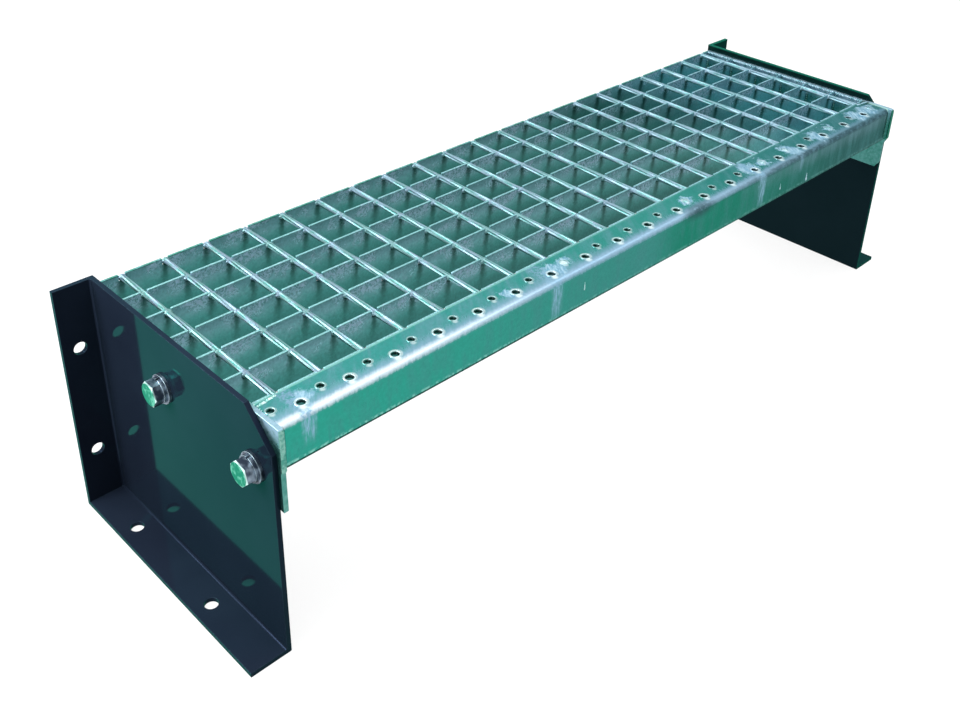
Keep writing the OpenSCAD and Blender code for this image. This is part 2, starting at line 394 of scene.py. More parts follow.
def rod_shadows(add, at, wander):
    """A painted shadow under each rod: its distance from the rod against a width that wanders."""
    from_rod = add("Math", at.x, rod_xs[0], **MINUS)
    leaning = add("Math", at.below, SHADOW_LEAN, from_rod, operation="MULTIPLY_ADD")
    steps = add("Math", leaning, rod_pitch, operation="DIVIDE")
    off_rod = add("Math", add("Math", steps, operation="FRACT"), 0.5, operation="PINGPONG")
    width = add("MapRange", wander, 0.3, 0.7, 0.05, 0.14)
    inside = add("Math", off_rod, width, operation="DIVIDE")
    inside = add("MapRange", inside, 0.1, 1.5, 1.0, 0.0, **SMOOTH)
    start = add("MapRange", at.below, 4 * MM, 6.5 * MM, **SMOOTH)
    fade = add("MapRange", at.below, 8 * MM, 26 * MM, 0.85, 0.2, **SMOOTH)
    rod_shadow = add("Math", inside, fade, **TIMES)
    return add("Math", rod_shadow, start, **TIMES)


print("a stain leans", round(SHADOW_LEAN * (tread_top - bar_low.z) / MM, 1), "mm to the left")

# %% Finish of the bars
back_bar_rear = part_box("back_bar")[1].y


def bar_zinc():
    """Galvanised bearing bar."""
    material, add = new_material("galvanised_bar")
    at = place_on_tread(add)
    frosting = bar_frosting(add, at)
    wander = add("TexNoise", at.place, 1 / (6 * MM), 3.0, 0.6)
    colour = add("Mix", frosting, bar_face(add, at), linear("#aec6de"), **RGBA)
    # Painted shadow of each rod on the bar faces below it.
    colour = add("Mix", rod_shadows(add, at, wander), colour, linear("#0f4a40"), **RGBA)
    # The rubbed top edge. That of the back bar stays green, because no shoe reaches it.
    rubbed = add("MapRange", wander, 0.38, 0.6, 0.45, 0.9, **SMOOTH)
    edge = add("MapRange", at.below, 0.4 * MM, 1.6 * MM, rubbed, 0.0, **SMOOTH)
    edge_tone = add("Mix", at.along, linear("#78adab"), linear("#5a8893"), **RGBA)
    rearmost = add("MapRange", at.y, back_bar_rear - 4 * MM, back_bar_rear - 3 * MM)
    edge_tone = add("Mix", rearmost, edge_tone, linear("#2d7f68"), **RGBA)
    colour = add("Mix", edge, colour, edge_tone, **RGBA)
    return finish_zinc(material, add, at, colour, frost_roughness(add, frosting),
                       relief=0.10 * MM, contrast=0.2, metal=0.5, glaze=0.2)


bar_finish = bar_zinc()

# %% [markdown]
# ## The cross rods
#
# The twisted rods are rubbed bright by shoes and shovels. Their corners shine in pale
# mint, bluer towards the right, and between two corners lies a thin line of painted shade
# in the hollow, broken where zinc filled it. Lower down their sides get painted shade. The
# point layer that the rods get further down says where the hollows are.

# %% Finish of the rods


def rod_zinc():
    """Galvanised twisted rod."""
    material, add = new_material("galvanised_rod")
    at = place_on_tread(add)
    patches = add("TexNoise", at.place, 1 / (14 * MM), 3.0, 0.6)
    thick = add("MapRange", patches, 0.44, 0.58, **SMOOTH)
    bright = add("Mix", at.along, linear("#7aa4a2"), linear("#87b0bb"), **RGBA)
    frozen = add("Mix", at.along, linear("#849cac"), linear("#96b5c6"), **RGBA)
    colour = add("Mix", thick, bright, frozen, **RGBA)
    # The dark line is painted shade in the hollow of each side: dashes four times as long as
    # wide, fainter where the zinc is thick.
    hollow = add("Attribute", attribute_name="hollow", output="Fac")
    long_place = add("Mapping", at.place, None, None, (1, 0.25, 1))
    dashes = add("TexNoise", long_place, 1 / (1.5 * MM), 3.0, 0.6)
    dark = add("MapRange", hollow, 0.4, 0.85, **SMOOTH)
    dark = add("Math", dark, add("MapRange", dashes, 0.36, 0.54, 0.25, 1.0, **SMOOTH), **TIMES)
    dark = add("Math", dark, add("MapRange", thick, 0.0, 1.0, 1.0, 0.35), **TIMES)
    colour = add("Mix", dark, colour, linear("#468c88"), **RGBA)
    # Painted shade on the lower sides of the rods, down between the bars.
    low = add("MapRange", at.below, 2.8 * MM, 5 * MM, **SMOOTH)
    colour = add("Mix", low, colour, linear("#26645e"), **RGBA)
    return finish_zinc(material, add, at, colour, FROST_ROUGHNESS, relief=0.12 * MM, contrast=0.1)


rod_finish = rod_zinc()

# %% [markdown]
# ## Zinc over the welds
#
# On the welds the zinc is thick and lumpy. It is the palest tone on the tread: mint on
# the left end, and bluer and duller towards the right, where the sheet is darker too.

# %% Finish of the welds


def weld_zinc():
    """Zinc over the welds."""
    material, add = new_material("zinc_over_welds")
    at = place_on_tread(add)
    patches = add("TexNoise", at.place, 1 / (4 * MM), 5.0, 0.6)
    thick = add("MapRange", patches, 0.35, 0.65, **SMOOTH)
    dull = add("Mix", at.along, linear("#8fcfc4"), linear("#6b9fa8"), **RGBA)
    pale = add("Mix", at.along, linear("#dbeeee"), linear("#a9c6d8"), **RGBA)
    colour = add("Mix", thick, dull, pale, **RGBA)
    return finish_zinc(material, add, at, colour, frost_roughness(add, thick),
                       relief=0.2 * MM, contrast=0.12)


weld_finish = weld_zinc()

# %% [markdown]
# ## The end plates
#
# The end plates are thicker sheet, smooth and a little lighter than the bars. Frosting
# hangs from their top edges. Their sheared front edges differ: the left one is pale, and
# the right one stands in the shade and looks dark green.

# %% Finish of the end plates


def plate_zinc():
    """Galvanised end plate."""
    material, add = new_material("galvanised_end_plate")
    at = place_on_tread(add)
    right = add("MapRange", at.x, -10 * MM, 10 * MM)
    blotches = add("TexNoise", at.place, 1 / (6 * MM), 6.0, 0.6)
    lighter = add("MapRange", blotches, 0.3, 0.7, **SMOOTH)
    body = add("Mix", lighter, linear("#2b7568"), linear("#468a81"), **RGBA)
    band = add("MapRange", at.below, 1 * MM, 18 * MM, 1.0, 0.1, **SMOOTH)
    patchy = add("MapRange", blotches, 0.28, 0.55, **SMOOTH)
    frosting = add("Math", band, patchy, **TIMES)
    colour = add("Mix", frosting, body, linear("#94b4c8"), **RGBA)
    # The front edge: pale on the left plate, dark green on the right one.
    front = add("Math", at.y, plate_low.y, **MINUS)
    edge = add("MapRange", front, 0.6 * MM, 2.2 * MM, 0.95, 0.0, **SMOOTH)
    streaks = add("TexNoise", at.place, 1 / (5 * MM), 4.0, 0.6)
    streaky = add("MapRange", streaks, 0.35, 0.65, **SMOOTH)
    left_edge = add("Mix", streaky, linear("#3d8a7c"), linear("#86b8ac"), **RGBA)
    edge_tone = add("Mix", right, left_edge, linear("#1c6f59"), **RGBA)
    colour = add("Mix", edge, colour, edge_tone, **RGBA)
    # The top edge: pale zinc at the nosing and on the whole right plate.
    top = add("MapRange", at.below, 0.4 * MM, 1.2 * MM, 0.9, 0.0, **SMOOTH)
    ahead = add("MapRange", at.y, nosing_high.y - 8 * MM, nosing_high.y + 8 * MM, 1.0, 0.0)
    pale_part = add("Math", right, ahead, **LARGER)
    top_tone = add("Mix", pale_part, linear("#3f8f80"), linear("#97b9c9"), **RGBA)
    colour = add("Mix", top, colour, top_tone, **RGBA)
    return finish_zinc(material, add, at, colour, frost_roughness(add, frosting),
                       relief=0.12 * MM, contrast=0.1)


plate_finish = plate_zinc()

# %% [markdown]
# ## The holes of the nosing
#
# The nosing has two rows of holes, half a step apart. Their places follow from the step
# between the holes and from the margins, and both the finish of the sheet and the painted
# highlights of the rims need them. In the bath, zinc closed a few of the small holes. The
# frame gives the box of the nosing but not its holes, so their sizes are repeated here.

# %% Places of the holes
HOLE_PITCH = 40.7 * MM
HOLE_MARGIN = 4.0 * MM  # from the left end of the nosing to its first small hole
FRONT_ROW = 12.5 * MM  # behind the face
REAR_ROW = 18.5 * MM
FRONT_HOLE = 7.0 * MM
REAR_HOLE = 6.0 * MM
FRONT_COUNT = 19
PLUGGED = (7, 11, 14, 15, 17, 19)  # the small holes that zinc closed, counted from 0

first_hole = nosing_low.x + HOLE_MARGIN
front_holes = [first_hole + (i + 0.5) * HOLE_PITCH for i in range(FRONT_COUNT)]
rear_holes = [first_hole + i * HOLE_PITCH for i in range(FRONT_COUNT + 1)]
front_row_y = face_y + FRONT_ROW
rear_row_y = face_y + REAR_ROW
print("front row from", round(front_holes[0] / MM, 1), "to", round(front_holes[-1] / MM, 1))
print("rear row from", round(rear_holes[0] / MM, 1), "to", round(rear_holes[-1] / MM, 1))

# %% [markdown]
# ## Highlights on the rims, and patches and runs of thick zinc
#
# A thin ring of painted highlight lies all round each raised rim, and it is strongest on the
# side of the fold. Larger patches lie round some holes, and four runs hang down the face. The
# rings repeat with the holes, so one mask makes a whole row. The patches and the runs are
# few and all different, so a loop goes through a short list and keeps the largest value.

# %% Masks of the thick zinc
PATCH_WANDER = 24 * MM  # how far a noise moves the outlines of the patches
RUN_WANDER = 7 * MM  # and the runs


def rim_highlights(add, x, y, first, row_y, reach):
    """A painted highlight round every hole of a row, strongest on the side of the fold."""
    steps = add("Math", add("Math", x, first, **MINUS), HOLE_PITCH, operation="DIVIDE")
    nearest = add("Math", steps, operation="ROUND")
    across = add("Math", add("Math", steps, nearest, **MINUS), HOLE_PITCH, **TIMES)
    deep = add("Math", y, row_y, **MINUS)
    spot = add("CombineXYZ", across, deep, 0.0)
    before = add("VectorMath", spot, (-0.35 * reach, -1.0 * reach, 0), operation="DISTANCE")
    around = add("VectorMath", spot, (0.1 * reach, 0, 0), operation="DISTANCE")
    strong = add("MapRange", before, 0.2 * reach, 0.8 * reach, 0.9, 0.0, **SMOOTH)
    weak = add("MapRange", around, 0.85 * reach, 1.2 * reach, 0.6, 0.0, **SMOOTH)
    return add("Math", strong, weak, **LARGER)


def zinc_patches(add, at):
    """Larger patches on the top: centre and reach of each, with ragged outlines."""
    ragged = add("TexNoise", at.place, 1 / (7 * MM), 4.0, 0.65, output="Color")
    moved = add("VectorMath", ragged, PATCH_WANDER, operation="SCALE")
    spread = add("VectorMath", at.place, moved, operation="ADD")
    patches = [(rear_holes[i], rear_row_y, 7 * MM) for i in PLUGGED]
    patches += [(front_holes[0] + 5 * MM, front_row_y + 4 * MM, 8 * MM),
                (front_holes[5] - 5 * MM, front_row_y + 3 * MM, 6 * MM),
                (front_holes[6] + 6 * MM, front_row_y + 3 * MM, 11 * MM),
                (front_holes[13] - 2 * MM, front_row_y + 6 * MM, 11 * MM),
                (front_holes[14] + 24 * MM, front_row_y + 3 * MM, 10 * MM),
                (front_holes[16] - 8 * MM, front_row_y + 3 * MM, 10 * MM),
                (front_holes[18] - 9 * MM, front_row_y + 3 * MM, 11 * MM),
                (front_holes[18] + 10 * MM, front_row_y + 4 * MM, 10 * MM)]
    mean_move = PATCH_WANDER / 2
    covered = 0.0
    for x, y, reach in patches:
        centre = (x + mean_move, y + mean_move, tread_top + mean_move)
        away = add("VectorMath", spread, centre, operation="DISTANCE")
        patch = add("MapRange", away, 0.7 * reach, 1.3 * reach, 1.0, 0.0, **SMOOTH)
        covered = add("Math", covered, patch, **LARGER)
    return covered


def zinc_runs(add, at):
    """Runs down the face: place, half width, share of the face's height and strength."""
    face_height = nosing_high.z - nosing_low.z
    runs = [(front_holes[0] - 3 * MM, 7 * MM, 0.8, 0.95),
            (front_holes[6] - 6 * MM, 8 * MM, 1.1, 0.8),
            (front_holes[13] - 3 * MM, 7 * MM, 1.05, 0.85),
            (front_holes[14] + 24 * MM, 4 * MM, 0.6, 0.35)]
    wide = add("TexNoise", at.place, 1 / (8 * MM), 3.0, 0.6)
    wobble = add("Math", wide, RUN_WANDER, -RUN_WANDER / 2, operation="MULTIPLY_ADD")
    moved = add("Math", at.x, wobble, operation="ADD")
    narrowing = add("MapRange", at.below, 0.0, face_height, 1.0, 0.75)
    covered = 0.0
    for centre, half_width, share, strength in runs:
        off = add("Math", add("Math", moved, centre, **MINUS), operation="ABSOLUTE")
        off = add("Math", off, narrowing, operation="DIVIDE")
        across = add("MapRange", off, 0.4 * half_width, 1.15 * half_width, 1.0, 0.0, **SMOOTH)
        length = add("MapRange", at.below, 0.5 * share * face_height, share * face_height,
                     strength, 0.0, **SMOOTH)
        covered = add("Math", covered, add("Math", across, length, **TIMES), **LARGER)
    long_place = add("Mapping", at.place, None, None, (1, 1, 0.12))
    legs = add("TexNoise", long_place, 1 / (2.6 * MM), 3.0, 0.7)
    split = add("MapRange", legs, 0.38, 0.58, 0.2, 1.0, **SMOOTH)
    return add("Math", covered, split, **TIMES)


print("patches are ragged by", round(PATCH_WANDER / 2 / MM, 1), "mm either way")

# %% [markdown]
# ## The sheet of the nosing
#
# The nosing is one sheet with three different faces. The front is green-grey, a painted
# reflection of green ground like all the zinc, deepest in the middle. The top is lighter on
# the left. Both have soft lumps, brushed askew, and greyer than the sheet. Several layers need
# the same readings and patterns, so the nosing's own place gathers them once. The brush marks
# are drawn some ten times as wide as real ones, which would be too fine to show.

# %% Sheet and lumps
BRUSH_SLANT = (0, 0, math.radians(-35))
BRUSH_STRETCH = (1, 5, 5)


def place_on_nosing(add):
    """The place on the tread, with the distance behind the face and the shared patterns."""
    at = place_on_tread(add)
    at.behind = add("Math", at.y, face_y, **MINUS)
    at.on_front = add("MapRange", at.below, 0.5 * MM, 4 * MM, **SMOOTH)
    brush_place = add("Mapping", at.place, None, BRUSH_SLANT, BRUSH_STRETCH,
                      vector_type="TEXTURE")
    at.lumps = add("TexNoise", brush_place, 1 / (9 * MM), 4.0, 0.65)
    at.brushed = add("TexNoise", brush_place, 1 / (1.8 * MM), 5.0, 0.7)
    return at


def nosing_sheet(add, at):
    """The plain sheet, from left to right on the front and on the top, and its lumps."""
    front = tone_along(add, at, "#2b9685", (0.1, 0.45, "#35867d"), (0.47, 0.55, "#127a64"),
                       (0.55, 0.95, "#1c5350"))
    top = tone_along(add, at, "#3f9b95", (0.0, 0.55, "#359288"), (0.56, 0.66, "#29837b"),
                     (0.55, 0.95, "#2a7476"))
    sheet = add("Mix", at.on_front, top, front, **RGBA)
    on_top = add("MapRange", at.along, 0.3, 0.6, 0.55, 0.25)
    strength = add("MapRange", at.on_front, 0.0, 1.0, on_top, 0.35)
    greyer = add("MapRange", at.lumps, 0.40, 0.66, 0.0, strength, **SMOOTH)
    grey_tone = add("Mix", at.on_front, linear("#6fa0ae"), linear("#447f80"), **RGBA)
    return add("Mix", greyer, sheet, grey_tone, **RGBA)


print("the nosing's face is", round((nosing_high.z - nosing_low.z) / MM, 1), "mm high")

# %% [markdown]
# ## The fold of the nosing
#
# The fold is paler zinc with a painted highlight on it: bright on the left, lilac in the
# middle and dull grey on the right. On the top, lilac zinc reaches back from it in short
# brushed streaks, as far as the front row of holes. On the right, painted shade darkens the
# lower side of the fold, a grey veil hangs below it, and one dark smudge lies near the
# middle of the tread.

# %% Fold, veil and smudge
SMUDGE_SQUASH = 0.35  # makes a ball of the smudge, which is longer than high


def fold_wash(add, at):
    """Lilac zinc on the top, which reaches back from the fold in brushed streaks."""
    ragged = add("Math", at.brushed, 14 * MM, at.behind, operation="MULTIPLY_ADD")
    reach = add("MapRange", at.along, 0.3, 0.6, 26 * MM, 19 * MM)
    wash = add("MapRange", ragged, 11 * MM, reach, 0.85, 0.0, **SMOOTH)
    near_top = add("MapRange", at.below, 0.0, 5 * MM, 1.0, 0.0, **SMOOTH)
    return add("Math", wash, near_top, **TIMES)


def fold_mask(add, at):
    """The fold itself, with brushed edges to the top and to the front."""
    ragged = add("Math", at.brushed, 4 * MM, at.behind, operation="MULTIPLY_ADD")
    upper_side = add("MapRange", ragged, 5 * MM, 10.5 * MM, 1.0, 0.0, **SMOOTH)
    droop = add("Math", at.brushed, 4 * MM, 0.2 * MM, operation="MULTIPLY_ADD")
    lower_side = add("Math", at.below, droop, operation="DIVIDE")
    lower_side = add("MapRange", lower_side, 0.4, 1.9, 1.0, 0.0, **SMOOTH)
    return add("Math", upper_side, lower_side, **TIMES)


def fold_shade(add, at, colour):
    """The grey veil, painted shade on the lower side of the fold on the right, and the smudge."""
    veil = add("MapRange", at.below, 5 * MM, 22 * MM, 0.55, 0.0, **SMOOTH)
    veil = add("Math", veil, add("MapRange", at.along, 0.64, 0.78), **TIMES)
    veil = add("Math", veil, add("MapRange", at.lumps, 0.35, 0.6, 0.4, 1.0), **TIMES)
    veil = add("Math", veil, at.on_front, **TIMES)
    colour = add("Mix", veil, colour, linear("#688894"), **RGBA)
    # Painted shade on the lower side of the fold, growing towards the right.
    blotches = add("TexNoise", at.place, 1 / (5 * MM), 5.0, 0.65)
    dark = add("MapRange", blotches, 0.36, 0.58, 0.35, 1.0, **SMOOTH)
    for fade in (add("MapRange", at.along, 0.5, 0.85, 0.0, 0.85, **SMOOTH),
                 add("MapRange", at.behind, 2 * MM, 5 * MM, 1.0, 0.0, **SMOOTH),
                 add("MapRange", at.below, 3 * MM, 7 * MM, 1.0, 0.0, **SMOOTH)):
        dark = add("Math", dark, fade, **TIMES)
    colour = add("Mix", dark, colour, linear("#324e56"), **RGBA)
    squashed = add("VectorMath", at.place, (SMUDGE_SQUASH, 1, 1), **TIMES)
    centre = (SMUDGE_SQUASH * rear_holes[11], face_y + 0.5 * MM, tread_top - 2 * MM)
    away = add("VectorMath", squashed, centre, operation="DISTANCE")
    smudge = add("MapRange", away, 2 * MM, 11 * MM, 0.8, 0.0, **SMOOTH)
    smudge = add("Math", smudge, add("MapRange", blotches, 0.3, 0.5, 0.4, 1.0), **TIMES)
    return add("Mix", smudge, colour, linear("#2c4d52"), **RGBA)


print("the smudge lies at x =", round(rear_holes[11] / MM, 1), "mm")

# %% [markdown]
# ## Marks, hole walls and edges of the nosing
#
# Over the sheet and the fold go first the patches and the runs of thick zinc, then the rings
# of painted highlight round the rims. The walls of the holes lie in the shade and are dark
# all round. Pale specks froze along the lower edge of the front, above a thin dark line. The
# rear edge of the top is pale, the left end gets painted shade where it meets the end plate,
# and a weld closes the right end.

# %% Rings, hole walls and edges
RIM_WANDER = 1.6 * MM  # how far a noise moves the rings


def rim_rings(add, at):
    """The rings of both rows, on the top only. Those of the rear row are weaker."""
    wander = add("TexNoise", at.place, 1 / (2.5 * MM), 3.0, 0.6)
    x = add("Math", wander, RIM_WANDER, at.x, operation="MULTIPLY_ADD")
    front = rim_highlights(add, x, at.y, front_holes[0] + RIM_WANDER / 2, front_row_y, 5 * MM)
    rear = rim_highlights(add, x, at.y, rear_holes[0] + RIM_WANDER / 2, rear_row_y, 4 * MM)
    marks = add("Math", front, add("Math", rear, 0.6, **TIMES), **LARGER)
    return add("Math", marks, add("MapRange", at.below, 1 * MM, 3 * MM, 1.0, 0.0), **TIMES)


def hole_walls(add, at):
    """The walls of the holes: behind the fold, between the two sides of the sheet."""
    wall = add("MapRange", at.below, 0.7 * MM, 1.2 * MM)
    wall = add("Math", wall, add("MapRange", at.behind, 5 * MM, 6 * MM), **TIMES)
    return add("Math", wall, add("MapRange", at.below, 2.7 * MM, 2.9 * MM, 0.85, 0.0), **TIMES)


def nosing_edges(add, at, colour):
    """Specks and a dark line below, a pale line behind, shade on the left, a weld on the right."""
    above = add("Math", at.z, nosing_low.z, **MINUS)
    specks = add("TexNoise", at.place, 1 / (2.2 * MM), 2.0, 0.5)
    pale_specks = add("MapRange", at.along, 0.2, 0.45, 0.95, 0.45)
    drops = add("MapRange", specks, 0.44, 0.58, 0.05, pale_specks, **SMOOTH)
    low = add("MapRange", above, 2.2 * MM, 4.6 * MM, 1.0, 0.0, **SMOOTH)
    low_tone = add("Mix", at.along, linear("#7dc0b2"), linear("#558c88"), **RGBA)
    colour = add("Mix", add("Math", drops, low, **TIMES), colour, low_tone, **RGBA)
    line_strength = add("MapRange", at.along, 0.3, 0.6, 0.95, 0.4)
    line = add("MapRange", above, 1.2 * MM, 1.9 * MM, line_strength, 0.0, **SMOOTH)
    colour = add("Mix", line, colour, linear("#0c3d34"), **RGBA)
    before_rear = add("Math", nosing_high.y, at.y, **MINUS)
    rear_strength = add("MapRange", at.along, 0.2, 0.6, 0.6, 0.15)
    rear_line = add("MapRange", before_rear, 0.8 * MM, 2.0 * MM, rear_strength, 0.0, **SMOOTH)
    colour = add("Mix", rear_line, colour, linear("#9ad8cb"), **RGBA)
    # Painted shade in the gap where the left end of the nosing meets the end plate.
    from_left = add("Math", at.x, nosing_low.x, **MINUS)
    shade = add("MapRange", from_left, 1.4 * MM, 2.4 * MM, 0.9, 0.0, **SMOOTH)
    shade = add("Math", shade, at.on_front, **TIMES)
    colour = add("Mix", shade, colour, linear("#0f3f36"), **RGBA)
    from_right = add("Math", nosing_high.x, at.x, **MINUS)
    weld_edge = add("Math", specks, 3 * MM, from_right, operation="MULTIPLY_ADD")
    weld = add("MapRange", weld_edge, 3.5 * MM, 6 * MM, 0.85, 0.0, **SMOOTH)
    return add("Mix", weld, colour, linear("#b4e0da"), **RGBA)


print(len(front_holes) + len(rear_holes), "rings round the holes")

# %% Finish of the nosing


def nosing_zinc():
    """Galvanised nosing: sheet, fold and shade, thick zinc, rim highlights, holes and edges."""
    material, add = new_material("galvanised_nosing")
    at = place_on_nosing(add)
    wash = fold_wash(add, at)
    wash_tone = add("Mix", at.along, linear("#8fb0c8"), linear("#658fa6"), **RGBA)
    # The fold's tone carries a painted highlight on paler zinc: bright on the left, dull on the
    # right.
    fold_highlight_tone = tone_along(add, at, "#d9e8f0", (0.05, 0.38, "#8fb0c7"), (0.55, 0.95, "#5f8796"))
    colour = add("Mix", wash, nosing_sheet(add, at), wash_tone, **RGBA)
    colour = add("Mix", fold_mask(add, at), colour, fold_highlight_tone, **RGBA)
    colour = fold_shade(add, at, colour)
    streaky = add("MapRange", at.brushed, 0.3, 0.6, 0.55, 1.0)
    patches = add("Math", zinc_patches(add, at), streaky, **TIMES)
    paler = add("MapRange", at.brushed, 0.38, 0.6)
    patch_tone = add("Mix", paler, linear("#74a6c6"), linear("#a8cbdc"), **RGBA)
    colour = add("Mix", patches, colour, patch_tone, **RGBA)
    colour = add("Mix", zinc_runs(add, at), colour, linear("#86aec6"), **RGBA)
    # Painted highlights round the raised rims, which also count as frosting for the roughness.
    rings = rim_rings(add, at)
    ring_tone = add("Mix", at.along, linear("#eafaf8"), linear("#bfd9e2"), **RGBA)
    colour = add("Mix", rings, colour, ring_tone, **RGBA)
    colour = add("Mix", hole_walls(add, at), colour, linear("#12332e"), **RGBA)
    colour = nosing_edges(add, at, colour)
    frosting = add("Math", add("Math", wash, patches, **LARGER), rings, **LARGER)
    return finish_zinc(material, add, at, colour, frost_roughness(add, frosting),
                       relief=0.08 * MM, contrast=0.08)


nosing_finish = nosing_zinc()

# %% [markdown]
# ## The powder coat of the brackets
#
# Powder coat is paint that is sprayed dry and melted in an oven. This one is a very dark,
# glossy anthracite with a metallic effect: the flat web mirrors the flanges and the
# floor, and the green tint of its gloss is a painted reflection of green ground. The melted
# film never lies quite flat, and that gives the gloss its faint orange-peel waviness. The
# coat is worn thin on its edges.

# %% Powder coat
DUST = 1.2 * MM  # coarser than real dust, which would be too fine to show
ORANGE_PEEL = 3 * MM
# A painted reflection: a green tint of the gloss for the green ground that the metal mirrors.
GREEN_REFLECTION_TINT = linear("#b6f9e3")  # the green of a dark sheen where the light skims it
bracket_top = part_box("bracket_right")[1].z


def bracket_coat():
    """Glossy anthracite powder coat, dusty, with orange peel."""
    material, add = new_material("anthracite_powder_coat")
    place = add("TexCoord", output="Object")
    x, _, z = add("SeparateXYZ", place).node.outputs
    clouds = add("TexNoise", place, 1 / (60 * MM), 2.0, 0.5)
    lighter = add("MapRange", clouds, 0.3, 0.7, **SMOOTH)
    colour = add("Mix", lighter, linear("#1a2230"), linear("#1d2634"), **RGBA)
    edge = add("Attribute", attribute_name="edge", output="Fac")
    rubbed = add("TexNoise", place, 1 / (3 * MM), 4.0, 0.65)
    rubbed = add("MapRange", rubbed, 0.5, 0.7, 0.25, 0.9, **SMOOTH)
    worn = add("Math", edge, rubbed, **TIMES)
    colour = add("Mix", worn, colour, linear("#3f5560"), **RGBA)
    # Painted reflection: the strip of the right web above the tread mirrors the tread's green,
    # most on its top edge.
    right = add("MapRange", x, 0.0, 100 * MM)
    strip = add("MapRange", z, tread_top - 3 * MM, tread_top + 1 * MM, 0.45, 0.8)
    strip = add("Math", strip, right, **TIMES)
    colour = add("Mix", strip, colour, linear("#0b2b25"), **RGBA)
    # Painted reflection of the tread's green on the top edge of the right web.
    green_edge_reflection = add("MapRange", z, bracket_top - 1.5 * MM, bracket_top - 0.2 * MM, 0.0, 0.8)
    green_edge_reflection = add("Math", green_edge_reflection, right, **TIMES)
    colour = add("Mix", green_edge_reflection, colour, linear("#17594a"), **RGBA)
    dust = add("TexNoise", place, 1 / DUST, 3.0, 0.6)
    peel = add("TexNoise", place, 1 / ORANGE_PEEL, 1.0, 0.5)
    return close_material(material, add, {
        "Base Color": colour,
        "Metallic": 0.4,
        "Roughness": add("MapRange", dust, 0.3, 0.7, 0.05, 0.08),
        "Normal": add("Bump", 1.0, 0.004 * MM, None, peel),
        "Specular IOR Level": 0.0,
        "Specular Tint": GREEN_REFLECTION_TINT})


coat_finish = bracket_coat()

# %% [markdown]
# ## The zinc plate of the bolts
#
# Bolts, nuts and washers are electroplated: a film of some micrometres, smoother than the
# dipped zinc. The flats of the heads are dark steel-grey. Their edges are worn bright and
# also carry a painted highlight, and a ring of painted highlight runs round the outer face of
# a head. That face is green with pale scuffs; its green is a painted reflection of green ground.

# %% Finish of the fasteners
head_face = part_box("bolt_right_front")[1].x


def fastener_zinc():
    """Electroplated zinc, with a painted reflection of green ground on the outer faces of the heads.
    """
    material, add = new_material("zinc_plated_fastener")
    place = add("TexCoord", output="Object")
    outward = add("Math", add("SeparateXYZ", place, output="X"), operation="ABSOLUTE")
    tarnish = add("TexNoise", place, 1 / (7 * MM), 2.0, 0.5)
    paler = add("MapRange", tarnish, 0.40, 0.68, **SMOOTH)
    colour = add("Mix", paler, linear("#3d4858"), linear("#93a5b5"), **RGBA)
    # A painted highlight on the rim round the outer face of each head.
    rim = add("MapRange", outward, head_face - 1.4 * MM, head_face - 1.0 * MM)
    colour = add("Mix", rim, colour, linear("#cdeeea"), **RGBA)
    scuffs = add("TexNoise", place, 1 / (6 * MM), 3.0, 0.6)
    scuffed = add("MapRange", scuffs, 0.50, 0.64, **SMOOTH)
    # The outer face: a painted reflection of green ground, with pale scuffs.
    face = add("Mix", scuffed, linear("#1a7960"), linear("#66b39c"), **RGBA)
    on_face = add("MapRange", outward, head_face - 0.4 * MM, head_face - 0.1 * MM)
    colour = add("Mix", on_face, colour, face, **RGBA)
    # Worn bright edges, which also stand for a painted highlight.
    edge = add("Attribute", attribute_name="edge", output="Fac")
    bare = add("Math", edge, 0.6, **TIMES)
    return close_material(material, add, {
        "Base Color": add("Mix", bare, colour, linear("#b9d4d8"), **RGBA),
        "Metallic": 0.8,
        "Roughness": add("MapRange", scuffs, 0.3, 0.7, 0.28, 0.45),
        "Normal": add("Bump", 1.0, 0.03 * MM, None, scuffs),
        "Specular IOR Level": 0.1,
        "Specular Tint": add("Mix", on_face, WHITE, GREEN_REFLECTION_TINT, **RGBA)})


fastener_finish = fastener_zinc()

# %% [markdown]
# ## Softened edges
#
# No edge of a real plate is sharp: shearing rounds it, and a coat builds up on it, so it
# catches a thin line of light. The frame's solids have sharp edges. A copy of such a
# solid has its doubled points merged and its flat faces joined, and a bevel of a few
# tenths of a millimetre then rounds what is left. Weighted normals keep the large faces
# flat under the smooth shading, because a glossy coat shows every bulge. A point layer
# remembers where the rounds are, because finishes wear there first.

# %% Showing a finished piece


def show(bm, name, finish, replaced=()):
    """Makes a finished piece of a bmesh: its object, finish, body and material slot."""
    bmesh.ops.recalc_face_normals(bm, faces=bm.faces)
    mesh = bpy.data.meshes.new(name)
    bm.to_mesh(mesh)
    bm.free()
    mesh.materials.append(finish)
    mesh.shade_smooth()
    piece = bpy.data.objects.new(name, mesh)
    bpy.context.scene.collection.objects.link(piece)
    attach(piece, BODY)
    if replaced:
        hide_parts(*replaced)
    print(name, "has", len(mesh.polygons), "faces")
    return piece


print("all pieces ride on the body", BODY)

# %% Bevelled copies of the frame's solids
SHARP = math.radians(30)  # edges that turn by less than this stay as they are
CREASE = math.radians(40)  # edges that turn by more than this are shaded sharp


def clean_copy(node_name):
    """A bmesh of a CAD solid with its doubled points merged and flat faces joined."""
    bm = bmesh.new()
    bm.from_mesh(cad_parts[node_name].data)
    bmesh.ops.remove_doubles(bm, verts=bm.verts, dist=0.001 * MM)
    bmesh.ops.dissolve_limit(bm, angle_limit=math.radians(0.5), verts=bm.verts, edges=bm.edges)
    return bm


